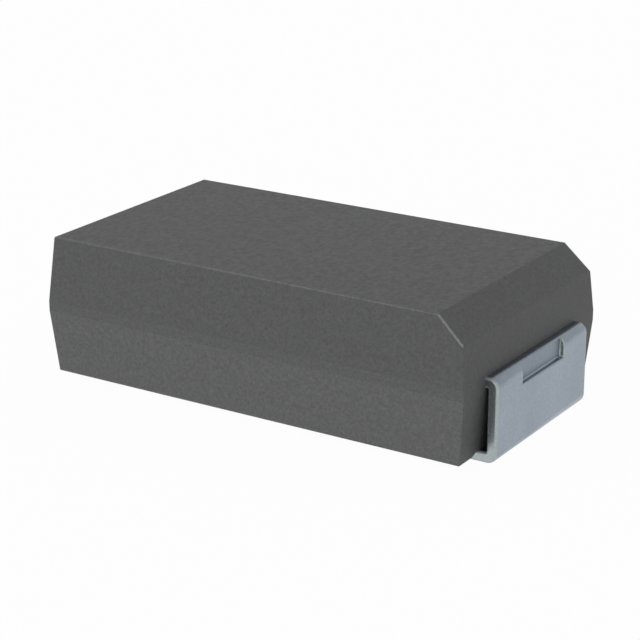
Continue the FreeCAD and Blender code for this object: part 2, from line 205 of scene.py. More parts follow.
class Studio(PropertyGroup):
    """Floor, lamps and camera."""

    paper: colour("Paper", "Colour of the floor", "#E9E9E9")
    paper_grey: colour("Paper, grey fibres", "Greyer fibres of the floor", "#E7E7E7")
    paper_lift: share("Paper lift", "How much of the floor's white is its own where it is seen", 0.97)
    sky: share("Room light", "Strength of the even light from all round", 0.5, 4.0)
    overhead: share("Overhead", "How bright the room looks overhead, where the horizon is white", 0.8)
    overhead_from: share("Overhead from", "Height, as a share of straight up, from which the room looks so", 0.12)
    zenith: share("Zenith", "How much of that brightness is left straight up", 0.3)
    zenith_from: share("Zenith from", "Height, as a share of straight up, from which the room gets dimmer again", 0.62)
    key_power: lamp_power("Key lamp", "Power of the small lamp above the camera", 0.055)
    left_power: lamp_power("Left lamp", "Power of the soft lamp on the left", 0.2)
    front_power: lamp_power("Front lamp", "Power of the low soft lamp in front", 0.105)
    azimuth: angle("Azimuth", "Where the camera stands round the part", 32.46)
    elevation: angle("Elevation", "Height of the camera as an angle", 19.273)
    distance: length("Distance", "Distance of the camera", 24.918)
    aim_across: length("Aim across", "How far right of the part's middle the camera aims", 0.0133)
    aim_up: length("Aim up", "How far above the part's foot the camera aims", 0.7514)
    focal_length: FloatProperty(
        name="Focal length", description="Lens for a 36 mm sensor", default=115.61, min=1, unit="CAMERA"
    )
    pixel_shift: share("Shift", "Shift of half a picture point, as a share of the picture", 0.00078)


class CapacitorSettings(PropertyGroup):
    """Everything that the operators read."""

    terminals: PointerProperty(type=TerminalSizes)
    finishes: PointerProperty(type=Finishes)
    studio: PointerProperty(type=Studio)


# --- nodes and materials ---


def add_node(tree, kind, inputs=None, **options):
    """Add a node with its options and return its outputs; an input takes a value, or links from other outputs.

    The mix node's sockets share their names, so they go by number: its factor is 0, and its A and B are 2 and 3 for
    plain numbers, 4 and 5 for vectors, 6 and 7 for colours, with the results at 0, 1 and 2."""
    node = tree.nodes.new(kind)
    for name, value in options.items():
        setattr(node, name, value)
    for name, value in (inputs or {}).items():
        sources = value if isinstance(value, list) else [value]
        if isinstance(sources[0], bpy.types.NodeSocket):
            for source in sources:
                tree.links.new(source, node.inputs[name])
        else:
            node.inputs[name].default_value = value
    return node.outputs


def opaque(tint):
    """Turn a colour of the settings into one that a node takes."""
    return (*tint, 1.0)


def noise_scale(width):
    """Work out the scale of a noise texture whose grains are about this wide: half of one of its units."""
    return 0.5 / width


def cell_scale(width):
    """Work out the scale of a Voronoi texture whose cells are about this wide."""
    return 1 / width


def start_material(name):
    """Make an empty material and return it, its tree and its object coordinates."""
    material = bpy.data.materials.new(name)
    material.use_nodes = True
    tree = material.node_tree
    tree.nodes.clear()
    return material, tree, add_node(tree, "ShaderNodeTexCoord")["Object"]


def shaded(tree, tint, gain, marks):
    """Make a colour paler by a gain, and by the share that each mark brings; a share below zero makes it darker."""
    for mark, more in marks:
        paler = add_node(tree, "ShaderNodeMath", {0: mark, 1: more, 2: 1.0}, operation="MULTIPLY_ADD")["Value"]
        gain = add_node(tree, "ShaderNodeMath", {0: gain, 1: paler}, operation="MULTIPLY")["Value"]
    return add_node(tree, "ShaderNodeVectorMath", {0: tint, "Scale": gain}, operation="SCALE")["Vector"]


def end_material(tree, shade, rough, height, depth, **constants):
    """End a material with its shader, whose bumps follow a pattern; below zero, depth puts its high values deeper."""
    bumps = add_node(tree, "ShaderNodeBump", {"Height": height, "Distance": abs(depth)}, invert=depth < 0)["Normal"]
    patterns = {"Base Color": shade, "Roughness": rough, "Normal": bumps}
    shader = add_node(tree, "ShaderNodeBsdfPrincipled", {**patterns, **constants})["BSDF"]
    add_node(tree, "ShaderNodeOutputMaterial", {"Surface": shader})


def make_moulded_epoxy(look):
    """Silica-filled epoxy, transfer moulded in a spark-eroded mould: matt, dark grey, with a fine even grain.

    Its outer edges are smoother and painted paler, a painted highlight that is strongest beside the bevel. Each face
    is painted a little paler or darker by its direction: painted light and shade."""
    material, tree, place = start_material("silica_filled_epoxy")
    top = add_node(tree, "ShaderNodeAttribute", attribute_name="flat_top")["Fac"]
    # wiping draws the top's grain out a little across the case
    wiped = add_node(tree, "ShaderNodeMapping", {"Vector": place, "Scale": (1.0, look.wiped, 1.0)})["Vector"]
    place = add_node(tree, "ShaderNodeMix", {0: top, 4: place, 5: wiped}, data_type="VECTOR")[1]
    # filler and eroded grain are 0.01 to 0.03 mm wide, and the grain a micrometre or so deep
    grain = add_node(
        tree, "ShaderNodeTexNoise", {"Vector": place, "Scale": noise_scale(look.epoxy_grain), "Roughness": 0.6}
    )["Fac"]
    # clusters of filler, nearly two grains wide; they show best on the flat top, where the mould is eroded coarser
    clusters = add_node(
        tree, "ShaderNodeTexNoise", {"Vector": place, "Scale": 0.6 * noise_scale(look.epoxy_grain), "Detail": 1.0}
    )["Fac"]
    # flow of the filler, which shows as faint clouds some tenths of a millimetre wide
    flow = add_node(tree, "ShaderNodeTexNoise", {"Vector": place, "Scale": noise_scale(0.45 * MM)})["Fac"]
    specks = add_node(tree, "ShaderNodeMapRange", {"Value": grain, **NOISE_SPAN})["Result"]
    speckled = add_node(
        tree, "ShaderNodeMix", {0: specks, 6: opaque(look.epoxy_dark), 7: opaque(look.epoxy)}, data_type="RGBA"
    )[2]
    # a painted highlight on the rounded edges, and painted light and shade on each face by its direction
    edge = add_node(tree, "ShaderNodeAttribute", attribute_name="rubbed_edge")["Fac"]
    tone = add_node(tree, "ShaderNodeAttribute", attribute_name="mould_tone")["Fac"]
    contrast = add_node(
        tree, "ShaderNodeMapRange", {"Value": top, "To Min": look.side_contrast, "To Max": look.top_contrast}
    )["Result"]
    centred = add_node(
        tree, "ShaderNodeMapRange", {"Value": clusters, **NOISE_SPAN, "To Min": -1.0, "To Max": 1.0}
    )["Result"]
    faint = add_node(tree, "ShaderNodeMapRange", {"Value": flow, "To Min": 0.975, "To Max": 1.025})["Result"]
    # clusters make the colour paler or darker by their share, and so do the painted edge highlight and each face's
    # painted light and shade
    gain = add_node(tree, "ShaderNodeMath", {0: centred, 1: contrast, 2: faint}, operation="MULTIPLY_ADD")["Value"]
    shade = shaded(tree, speckled, gain, ((edge, look.rubbed), (tone, 1.0)))
    matt = add_node(
        tree,
        "ShaderNodeMapRange",
        {"Value": grain, "To Min": look.epoxy_roughness - 0.08, "To Max": look.epoxy_roughness + 0.08},
    )["Result"]
    rough = add_node(tree, "ShaderNodeMix", {0: edge, 2: matt, 3: look.painted_highlight_roughness})[0]
    end_material(tree, shade, rough, grain, depth=0.0008 * MM, IOR=1.55)
    return material


def make_matt_tin(look):
    """Matt tin plated on a nickel-iron strip: pale blue-grey metal with a silky, slightly cloudy sheen.

    Where the strip was sheared it is paler and less blue, which on its rounded rims is also a painted highlight. The
    rims get a further painted highlight and the relief's floor a painted shade, and both are more matt."""
    material, tree, place = start_material("matt_tin_plate")
    # plating grains are 2 to 8 micrometres wide; drawn coarser, so that they show
    grain = add_node(tree, "ShaderNodeTexNoise", {"Vector": place, "Scale": noise_scale(look.tin_grain)})["Fac"]
    clouds = add_node(
        tree, "ShaderNodeTexNoise", {"Vector": place, "Scale": noise_scale(0.3 * MM), "Detail": 3.0}
    )["Fac"]
    clear = add_node(tree, "ShaderNodeMapRange", {"Value": clouds, **NOISE_SPAN})["Result"]
    plate = add_node(
        tree, "ShaderNodeMix", {0: clear, 6: opaque(look.tin_dull), 7: opaque(look.tin)}, data_type="RGBA"
    )[2]
    # the sheared colour is the cut faces' own, and on the rounded rims a painted highlight too
    cut = add_node(tree, "ShaderNodeAttribute", attribute_name="sheared_edge")["Fac"]
    bare = add_node(tree, "ShaderNodeMix", {0: cut, 6: plate, 7: opaque(look.sheared)}, data_type="RGBA")[2]
    gain = add_node(
        tree, "ShaderNodeMapRange", {"Value": grain, **NOISE_SPAN, "To Min": 0.93, "To Max": 1.07}
    )["Result"]
    # painted highlight: the rounded rims are paler; painted shade: the relief's pressed floor is darker; both are more
    # matt
    rim = add_node(tree, "ShaderNodeAttribute", attribute_name="rounded_rim")["Fac"]
    floor = add_node(tree, "ShaderNodeAttribute", attribute_name="pressed_floor")["Fac"]
    shade = shaded(tree, bare, gain, ((rim, look.rim_painted_highlight), (floor, -look.pressed)))
    rough = add_node(
        tree,
        "ShaderNodeMapRange",
        {"Value": clouds, **NOISE_SPAN, "To Min": look.tin_roughness + 0.03, "To Max": look.tin_roughness - 0.02},
    )["Result"]
    for mark, worn in ((rim, look.rim_roughness), (floor, look.pressed_roughness)):
        rough = add_node(tree, "ShaderNodeMix", {0: mark, 2: rough, 3: worn})[0]
    end_material(tree, shade, rough, grain, depth=0.00025 * MM, Metallic=1.0)
    return material


def two_tone(tree, tint_by, tints, shape_by, roughness, depth, **constants):
    """End a material: one pattern mixes its two colours, and one, maybe the same, sets its roughness and bumps.

    The first colour and the first roughness belong to a pattern's low values."""
    shade = add_node(tree, "ShaderNodeMix", {0: tint_by, 6: opaque(tints[0]), 7: opaque(tints[1])}, data_type="RGBA")
    rough = add_node(tree, "ShaderNodeMapRange", {"Value": shape_by, "To Min": roughness[0], "To Max": roughness[1]})
    end_material(tree, shade[2], rough["Result"], shape_by, depth, **constants)


def make_sintered_tantalum(look):
    """Tantalum powder pressed and sintered: dull, dark, with pores of a few micrometres."""
    material, tree, place = start_material("sintered_tantalum_powder")
    # pores are 1 to 5 micrometres wide; drawn at 0.02 mm, so that they show
    pores = add_node(tree, "ShaderNodeTexVoronoi", {"Vector": place, "Scale": cell_scale(0.02 * MM)})["Distance"]
    tints = (look.tantalum, look.tantalum_pores)
    two_tone(tree, pores, tints, pores, roughness=(0.6, 0.85), depth=-0.003 * MM, Metallic=1.0)
    return material


def make_drawn_wire(look):
    """Drawn tantalum wire: blue-grey, half bright, with die lines along it."""
    material, tree, place = start_material("drawn_tantalum_wire")
    # die lines are a few micrometres apart; drawn 0.015 mm apart, and fifty times as long
    along = add_node(tree, "ShaderNodeMapping", {"Vector": place, "Scale": (0.02, 1.0, 1.0)})["Vector"]
    lines = add_node(tree, "ShaderNodeTexNoise", {"Vector": along, "Scale": noise_scale(0.015 * MM)})["Fac"]
    tints = (look.wire_lines, look.wire)
    two_tone(tree, lines, tints, lines, roughness=(0.45, 0.28), depth=0.0005 * MM, Metallic=1.0)
    return material


def make_fluoropolymer(look):
    """White fluoropolymer, skived and punched: waxy white with faint knife lines."""
    material, tree, place = start_material("skived_fluoropolymer")
    # knife lines are some hundredths of a millimetre apart and run right across the ring
    across = add_node(tree, "ShaderNodeMapping", {"Vector": place, "Scale": (1.0, 0.05, 1.0)})["Vector"]
    lines = add_node(tree, "ShaderNodeTexNoise", {"Vector": across, "Scale": noise_scale(0.02 * MM)})["Fac"]
    tints = (look.washer_lines, look.washer)
    two_tone(tree, lines, tints, lines, roughness=(0.38, 0.52), depth=0.0005 * MM, IOR=1.35)
    return material


def make_manganese_dioxide(look):
    """Manganese dioxide grown by pyrolysis: brown-black, crusty and quite matt."""
    material, tree, place = start_material("pyrolytic_manganese_dioxide")
    # lumps of the crust are some hundredths of a millimetre wide, with crystals a third as wide on them
    crust = add_node(tree, "ShaderNodeTexVoronoi", {"Vector": place, "Scale": cell_scale(0.03 * MM)})["Distance"]
    crystals = add_node(
        tree, "ShaderNodeTexNoise", {"Vector": place, "Scale": noise_scale(0.01 * MM), "Detail": 3.0}
    )["Fac"]
    tints = (look.manganese, look.manganese_crust)
    two_tone(tree, crystals, tints, crust, roughness=(0.95, 0.75), depth=-0.004 * MM, IOR=1.6)
    return material


def make_graphite(look):
    """Dipped graphite: dark grey with the soft gleam of its flakes."""
    material, tree, place = start_material("dipped_graphite")
    # flakes are 5 to 10 micrometres wide; drawn at 0.02 mm, so that they show
    cells = add_node(tree, "ShaderNodeTexVoronoi", {"Vector": place, "Scale": cell_scale(0.02 * MM)})["Color"]
    flakes = add_node(tree, "ShaderNodeSeparateColor", {"Color": cells})["Red"]
    tints = (look.graphite_dark, look.graphite)
    two_tone(tree, flakes, tints, flakes, roughness=(0.4, 0.65), depth=0.0008 * MM, IOR=1.8)
    return material


def make_silver_paint(look):
    """Dipped silver paint: pale grey metal, satin, with a flaky skin and soft sags."""
    material, tree, place = start_material("dipped_silver_paint")
    # flakes are 5 to 10 micrometres wide, drawn at 0.018 mm; the sags of the dip are tenths of a millimetre wide
    cells = add_node(tree, "ShaderNodeTexVoronoi", {"Vector": place, "Scale": cell_scale(0.018 * MM)})["Color"]
    flakes = add_node(tree, "ShaderNodeSeparateColor", {"Color": cells})["Red"]
    sags = add_node(tree, "ShaderNodeTexNoise", {"Vector": place, "Scale": noise_scale(0.2 * MM)})["Fac"]
    tints = (look.silver_thin, look.silver)
    two_tone(tree, sags, tints, flakes, roughness=(0.45, 0.62), depth=0.001 * MM, Metallic=1.0)
    return material


def make_silver_adhesive(look):
    """Silver-filled adhesive, cured: grey metal paste, rough and lumpy."""
    material, tree, place = start_material("cured_silver_adhesive")
    # lumps of the dried paste, some hundredths of a millimetre wide
    lumps = add_node(
        tree, "ShaderNodeTexNoise", {"Vector": place, "Scale": noise_scale(0.03 * MM), "Detail": 4.0}
    )["Fac"]
    tints = (look.adhesive_dark, look.adhesive)
    two_tone(tree, lumps, tints, lumps, roughness=(0.75, 0.5), depth=0.003 * MM, Metallic=1.0)
    return material


def coat(node, material):
    """Put a material in a CAD node's slots, in place of the one it was packed with."""
    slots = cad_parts[node].material_slots
    if not slots:
        raise RuntimeError(f"{node} has no material slot")
    for slot in slots:
        slot.material = material


# --- folded terminals ---


def drawn_strip(tree, given):
    """Round the bends of a side view and draw it out to the strip's full width."""
    corners = add_node(tree, "GeometryNodeMeshToCurve", {"Mesh": given["Side view"]})["Curve"]
    radius = add_node(tree, "GeometryNodeInputNamedAttribute", {"Name": "bend_radius"})["Attribute"]
    bent = add_node(
        tree,
        "GeometryNodeFilletCurve",
        {"Curve": corners, "Count": given["Bend steps"], "Radius": radius, "Limit Radius": True},
        mode="POLY",
    )["Curve"]
    # filled, and stood upright at one side of the strip
    flat = add_node(tree, "GeometryNodeFillCurve", {"Curve": bent}, mode="NGONS")["Mesh"]
    half = add_node(tree, "ShaderNodeMath", {0: given["Strip width"], 1: -0.5}, operation="MULTIPLY")["Value"]
    aside = add_node(tree, "ShaderNodeCombineXYZ", {"Y": half})["Vector"]
    side = add_node(
        tree,
        "GeometryNodeTransform",
        {"Geometry": flat, "Translation": aside, "Rotation": (math.pi / 2, 0.0, 0.0)},
    )["Geometry"]
    # drawn out across the strip's width, and closed with the side itself
    turned = add_node(tree, "GeometryNodeFlipFaces", {"Mesh": side})["Mesh"]
    drawn = add_node(
        tree,
        "GeometryNodeExtrudeMesh",
        {"Mesh": turned, "Offset": (0.0, 1.0, 0.0), "Offset Scale": given["Strip width"], "Individual": False},
        mode="FACES",
    )["Mesh"]
    shell = add_node(tree, "GeometryNodeJoinGeometry", {"Geometry": [drawn, side]})["Geometry"]
    return add_node(tree, "GeometryNodeMergeByDistance", {"Geometry": shell, "Distance": DRAWN_SEAM})["Geometry"]


def cutting_blocks(tree, given):
    """Join the blocks that are cut from a strip: a notch on each side, and on the anode the relief and the groove."""
    # the notches leave the narrow tongue or tray
    block = add_node(tree, "GeometryNodeMeshCube", {"Size": given["Notch size"]})["Mesh"]
    near = add_node(tree, "GeometryNodeTransform", {"Geometry": block, "Translation": given["Notch centre"]})
    across = add_node(
        tree, "ShaderNodeVectorMath", {0: given["Notch centre"], 1: (1.0, -1.0, 1.0)}, operation="MULTIPLY"
    )["Vector"]
    far = add_node(tree, "GeometryNodeTransform", {"Geometry": block, "Translation": across})
    # the relief runs up over the upper fold, and the wire lies in a groove along the tongue
    press = add_node(tree, "GeometryNodeMeshCube", {"Size": given["Relief size"]})["Mesh"]
    pressed = add_node(tree, "GeometryNodeTransform", {"Geometry": press, "Translation": given["Relief centre"]})
    rod = add_node(
        tree,
        "GeometryNodeMeshCylinder",
        {"Vertices": GROOVE_STEPS, "Radius": given["Groove radius"], "Depth": given["Groove length"]},
    )["Mesh"]
    laid = add_node(
        tree,
        "GeometryNodeTransform",
        {"Geometry": rod, "Translation": given["Groove centre"], "Rotation": (0.0, math.pi / 2, 0.0)},
    )
    anode_cuts = add_node(
        tree, "GeometryNodeJoinGeometry", {"Geometry": [pressed["Geometry"], laid["Geometry"]]}
    )["Geometry"]
    chosen = add_node(
        tree, "GeometryNodeSwitch", {"Switch": given["Has relief"], "True": anode_cuts}, input_type="GEOMETRY"
    )["Output"]
    return add_node(
        tree, "GeometryNodeJoinGeometry", {"Geometry": [near["Geometry"], far["Geometry"], chosen]}
    )["Geometry"]


def folded_strip_tree():
    """Build the tree that folds a strip from its side view, then presses its relief and cuts it to shape."""
    tree = bpy.data.node_groups.new("folded_strip", "GeometryNodeTree")
    inputs = (
        ("Side view", "NodeSocketGeometry"),
        ("Strip width", "NodeSocketFloat"),
        ("Bend steps", "NodeSocketInt"),
        ("Notch size", "NodeSocketVector"),
        ("Notch centre", "NodeSocketVector"),
        ("Has relief", "NodeSocketBool"),
        ("Relief size", "NodeSocketVector"),
        ("Relief centre", "NodeSocketVector"),
        ("Groove radius", "NodeSocketFloat"),
        ("Groove length", "NodeSocketFloat"),
        ("Groove centre", "NodeSocketVector"),
        ("Finish", "NodeSocketMaterial"),
    )
    for name, kind in inputs:
        tree.interface.new_socket(name=name, in_out="INPUT", socket_type=kind)
    tree.interface.new_socket(name="Strip", in_out="OUTPUT", socket_type="NodeSocketGeometry")
    given = add_node(tree, "NodeGroupInput")
    strip = drawn_strip(tree, given)
    cuts = cutting_blocks(tree, given)
    cut = add_node(
        tree, "GeometryNodeMeshBoolean", {"Mesh 1": strip, "Mesh 2": cuts}, operation="DIFFERENCE", solver="EXACT"
    )["Mesh"]
    real = add_node(tree, "GeometryNodeRealizeInstances", {"Geometry": cut})["Geometry"]
    finished = add_node(tree, "GeometryNodeSetMaterial", {"Geometry": real, "Material": given["Finish"]})["Geometry"]
    add_node(tree, "NodeGroupOutput", {"Strip": finished})
    return tree


def set_inputs(modifier, values):
    """Set a Geometry Nodes modifier's inputs, given by name, through their sockets' identifiers."""
    for item in modifier.node_group.interface.items_tree:
        if item.item_type == "SOCKET" and item.in_out == "INPUT" and item.name in values:
            modifier[item.identifier] = values[item.name]


def draw_side_view(name, corners):
    """Draw a strip's side view as a closed line: corners are (x, z, bend radius) in metres."""
    view = bpy.data.meshes.new(name)
    count = len(corners)
    points = [(x * DRAWN_LARGER, z * DRAWN_LARGER, 0.0) for x, z, _ in corners]
    view.from_pydata(points, [(i, (i + 1) % count) for i in range(count)], [])
    radii = view.attributes.new("bend_radius", "FLOAT", "POINT")
    radii.data.foreach_set("value", [radius * DRAWN_LARGER for _, _, radius in corners])
    return view


def evaluated_mesh(strip):
    """Turn what a strip's modifiers make into a plain mesh, and take the modifiers off."""
    ready = strip.evaluated_get(bpy.context.evaluated_depsgraph_get())
    mesh = bpy.data.meshes.new_from_object(ready)
    strip.modifiers.clear()
    return mesh


def open_strip(mesh):
    """Open the mesh of a strip as drawn, with its doubles merged and its faces turned outwards."""
    form = bmesh.new()
    form.from_mesh(mesh)
    bmesh.ops.remove_doubles(form, verts=form.verts, dist=DRAWN_NEAR)
    bmesh.ops.dissolve_degenerate(form, edges=form.edges, dist=DRAWN_NEAR)
    bmesh.ops.recalc_face_normals(form, faces=form.faces)
    return form


def close_form(form, mesh):
    """Put a finished form back in its mesh, and make sure that it is closed."""
    if any(not edge.is_manifold for edge in form.edges):
        raise RuntimeError(f"{mesh.name} is not a closed mesh")
    form.to_mesh(mesh)
    form.free()


def mark_rims(mesh, sizes):
    """Weigh the strip's sharp edges for rounding: its sides fully, other edges less, and none inside the case."""
    form = open_strip(mesh)
    weights = form.edges.layers.float.new("bevel_weight_edge")
    side = ANODE[1].y * DRAWN_LARGER
    inner = (sizes.shoulder + sizes.rim) * DRAWN_LARGER
    foot_top = 2 * sizes.thickness * DRAWN_LARGER
    ledge = (ANODE[1].z - sizes.relief_drop) * DRAWN_LARGER
    for edge in form.edges:
        middle = (edge.verts[0].co + edge.verts[1].co) / 2
        hidden = abs(middle.x) < inner and middle.z > foot_top
        # the relief's own top edge stays sharp, because the fold's narrow faces leave no room for its rounding
        relief_top = abs(middle.y) < side / 4 and middle.z > ledge + sizes.relief_rim * DRAWN_LARGER
        if hidden or relief_top or edge.calc_face_angle(0.0) < SHARP:
            edge[weights] = 0.0
        else:
            edge[weights] = 1.0 if abs(abs(middle.y) - side) < DRAWN_LEVEL else sizes.relief_rim / sizes.rim
    close_form(form, mesh)


def finish_strip(mesh):
    """Mark a strip's faces for its finish and scale it back to its size."""
    form = open_strip(mesh)
    sheared = form.faces.layers.float.new("sheared_edge")
    rim = form.faces.layers.float.new("rounded_rim")
    pressed = form.faces.layers.float.new("pressed_floor")
    outer = ANODE[1].x * DRAWN_LARGER - DRAWN_LEVEL
    for face in form.faces:
        # flat faces lie exactly square to an axis; those of bends and rims don't
        face.smooth = max(abs(part) for part in face.normal) < 0.99999
        # the cut sides take the sheared colour, which on the rims is a painted highlight too
        face[sheared] = float(abs(face.normal.y) > ASIDE)
        face[rim] = float(SQUARE > abs(face.normal.y) > ASIDE)
        # the relief's floor is the only face that looks outwards from behind the anode's outer face
        face[pressed] = float(face.normal.x > SQUARE and outer > face.calc_center_median().x > outer / 2)
    bmesh.ops.scale(form, vec=Vector((1, 1, 1)) / DRAWN_LARGER, verts=form.verts)
    close_form(form, mesh)


def fold_terminal(name, node, corners, values, sizes):
    """Make one terminal from the corners of its side view, as a plain closed mesh that stands for its CAD node."""
    strip = bpy.data.objects.new(name, draw_side_view(name, corners))
    bpy.context.scene.collection.objects.link(strip)
    folder = strip.modifiers.new("folded_strip", "NODES")
    folder.node_group = bpy.data.node_groups.get("folded_strip") or folded_strip_tree()
    set_inputs(folder, values)
    folded = evaluated_mesh(strip)
    mark_rims(folded, sizes)
    strip.data = folded

    rounding = strip.modifiers.new("rounded_rims", "BEVEL")
    rounding.limit_method = "WEIGHT"
    rounding.width = sizes.rim * DRAWN_LARGER
    rounding.segments = sizes.rim_steps
    rounding.use_clamp_overlap = False
    mesh = evaluated_mesh(strip)
    mesh.name = name
    finish_strip(mesh)
    strip.data = mesh

    low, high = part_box(node)
    for pick, wanted in ((min, low), (max, high)):
        corner = Vector(map(pick, zip(*[vertex.co for vertex in mesh.vertices])))
        if (corner - wanted).length > CAD_FIT:
            raise RuntimeError(f"{name} ends at {corner}, but {node} ends at {wanted}")
    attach(strip, "root")
    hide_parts(node)


def larger(values):
    """Give lengths the scale that the strips are drawn at."""
    return [value * DRAWN_LARGER for value in values]


def side_notch(left, right, low, high, kept, width):
    """Work out the block that is cut from each side of a strip, leaving the kept width."""
    outer = width / 2 + SPARE
    return {
        "Notch size": larger((right - left, outer - kept / 2, high - low)),
        "Notch centre": larger(((left + right) / 2, (outer + kept / 2) / 2, (low + high) / 2)),
    }


class CAPACITOR_OT_fold_terminals(Operator):
    """Fold both terminals from plated strip and put them in place of their CAD solids"""

    bl_idname = "capacitor.fold_terminals"
    bl_label = "Fold Terminals"

    def execute(self, context):
        """Work out the side view of each strip and build it."""
        settings = context.scene.capacitor
        sizes = settings.terminals
        width = ANODE[1].y * 2
        common = {
            "Strip width": width * DRAWN_LARGER,
            "Bend steps": sizes.bend_steps,
            "Finish": make_matt_tin(settings.finishes),
        }
        self.fold_anode(sizes, width, common)
        self.fold_cathode(sizes, width, common)
        return {"FINISHED"}

    @staticmethod
    def outside(sizes, sign):
        """List the corners of the part outside the case: fold, upright and foot, there and back."""
        end, top, thick = ANODE[1].x, ANODE[1].z, sizes.thickness
        return [
            (sign * end, top, sizes.upper_round),
            (sign * end, 0.0, sizes.lower_round),
            (sign * (end - sizes.foot_length), 0.0, 0.0),
            (sign * (end - sizes.foot_length), thick, 0.0),
            (sign * (end - thick), thick, sizes.lower_bend),
            (sign * (end - thick), top - thick, sizes.upper_bend),
        ]

    def fold_anode(self, sizes, width, common):
        """Fold the strip of the bevelled end: its arm drops to the tongue that carries the wire."""
        top, end, thick = ANODE[1].z, ANODE[1].x, sizes.thickness
        tip = ANODE[0].x
        wire_low, wire_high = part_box("anode_wire")
        wire_height = (wire_low.z + wire_high.z) / 2
        tongue = wire_low.z + sizes.wire_sink
        corners = [
            (tip, tongue, 0.0),
            (sizes.joggle_end, tongue, thick),
            (sizes.joggle_start, top, thick),
            *self.outside(sizes, 1),
            (sizes.joggle_start, top - thick, thick),
            (sizes.joggle_end, tongue - thick, thick),
            (tip, tongue - thick, 0.0),
        ]
        notch = side_notch(tip - SPARE, sizes.shoulder, tongue - 2 * thick, top + SPARE, sizes.tongue_width, width)
        relief_size = (sizes.relief_depth + SPARE, sizes.relief_width, sizes.relief_drop + SPARE)
        relief_centre = (
            end - sizes.relief_depth + relief_size[0] / 2,
            0.0,
            top - sizes.relief_drop + relief_size[2] / 2,
        )
        relief = {
            "Has relief": True,
            "Relief size": larger(relief_size),
            "Relief centre": larger(relief_centre),
            "Groove radius": (wire_high.z - wire_low.z) / 2 * DRAWN_LARGER,
            "Groove length": (wire_high.x - tip + SPARE) * DRAWN_LARGER,
            "Groove centre": larger(((wire_high.x + tip - SPARE) / 2, 0.0, wire_height)),
        }
        fold_terminal("anode_strip", "anode_terminal", corners, {**common, **notch, **relief}, sizes)

    def fold_cathode(self, sizes, width, common):
        """Fold the strip of the plain end: its arm goes down a riser to the tray under the element."""
        top, thick = ANODE[1].z, sizes.thickness
        tray_end = CATHODE[1].x
        tray_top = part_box("silver_bond")[0].z
        riser_out, riser_in = sizes.riser, sizes.riser - thick
        inside, outside = sizes.riser_bend, sizes.riser_bend + thick
        corners = [
            (tray_end, tray_top, 0.0),
            (-riser_in, tray_top, inside),
            (-riser_in, top, outside),
            *self.outside(sizes, -1),
            (-riser_out, top - thick, inside),
            (-riser_out, tray_top - thick, outside),
            (tray_end, tray_top - thick, 0.0),
        ]
        notch = side_notch(
            -sizes.shoulder, tray_end + SPARE, tray_top - 2 * thick, top + SPARE, sizes.tray_width, width
        )
        fold_terminal("cathode_strip", "cathode_terminal", corners, {**common, **notch, "Has relief": False}, sizes)


# --- case and element ---


def facing(face):
    """Name a face's direction roughly enough that all the faces of one flat share it."""
    return tuple(round(part, 2) for part in face.normal)


def measure_flats(form):
    """Find the directions of a form's flats: those whose faces add up to more than a rounded edge could."""
    areas = {}
    for face in form.faces:
        areas[facing(face)] = areas.get(facing(face), 0.0) + face.calc_area()
    return {direction for direction, area in areas.items() if area > FLAT_AREA}


def painted_highlight_share(face, low, high, outside):
    """Tell how much painted highlight a rounded face of the case gets: most beside the bevel, less at the top and the
    foot.
    """
    middle = face.calc_center_median()
    # the corner that the bevel takes off, a little larger all round
    corner = high - Vector((0.4, 0.15, 0.4)) * MM
    if middle.x > corner.x and abs(middle.y) > corner.y and middle.z > corner.z:
        return 1.0
    return outside if middle.z > high.z - EDGE_REACH or middle.z < low.z + EDGE_REACH else 0.0


def mould_tone(face, look):
    """Tell how much paler, or darker below zero, a face of the case is painted for its direction: painted light and
    shade.
    """
    along, across, up = face.normal
    # a side or an end leans in by its draft of a few degrees, and the band between the mould's halves is upright
    most, draft = 0.98, 0.06
    if abs(across) > most:
        if abs(up) < draft:
            return look.middle_band_painted_light
        return look.lower_half_painted_light if up < 0 else 0.0
    if abs(along) > most:
        return -look.ends
    return look.bevel if min(along, up) > 0.5 else 0.0


class CAPACITOR_OT_mould_case(Operator):
    """Copy the CAD case, mark its painted edge highlight and each face's painted light and shade, and give it its
    epoxy
    """

    bl_idname = "capacitor.mould_case"
    bl_label = "Mould Case"

    def execute(self, context):
        """Take the CAD case's form, joined up, and mark what its finish depends on."""
        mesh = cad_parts["case"].data.copy()
        mesh.name = "moulded_case"
        mesh.materials.clear()
        look = context.scene.capacitor.finishes
        mesh.materials.append(make_moulded_epoxy(look))
        low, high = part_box("case")
        form = bmesh.new()
        form.from_mesh(mesh)
        bmesh.ops.remove_doubles(form, verts=form.verts, dist=DRAWN_NEAR / DRAWN_LARGER)
        rubbed = form.faces.layers.float.new("rubbed_edge")
        tone = form.faces.layers.float.new("mould_tone")
        flat_top = form.faces.layers.float.new("flat_top")
        flats = measure_flats(form)
        for face in form.faces:
            face.smooth = facing(face) not in flats
            # painted highlight on the rounded edges
            face[rubbed] = painted_highlight_share(face, low, high, look.painted_highlight_outside) if face.smooth else 0.0
            # painted light and shade by the face's direction
            face[tone] = mould_tone(face, look)
            face[flat_top] = float(face.normal.z > SQUARE)
        close_form(form, mesh)
        case = bpy.data.objects.new("moulded_case", mesh)
        context.scene.collection.objects.link(case)
        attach(case, "root")
        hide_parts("case")
        return {"FINISHED"}


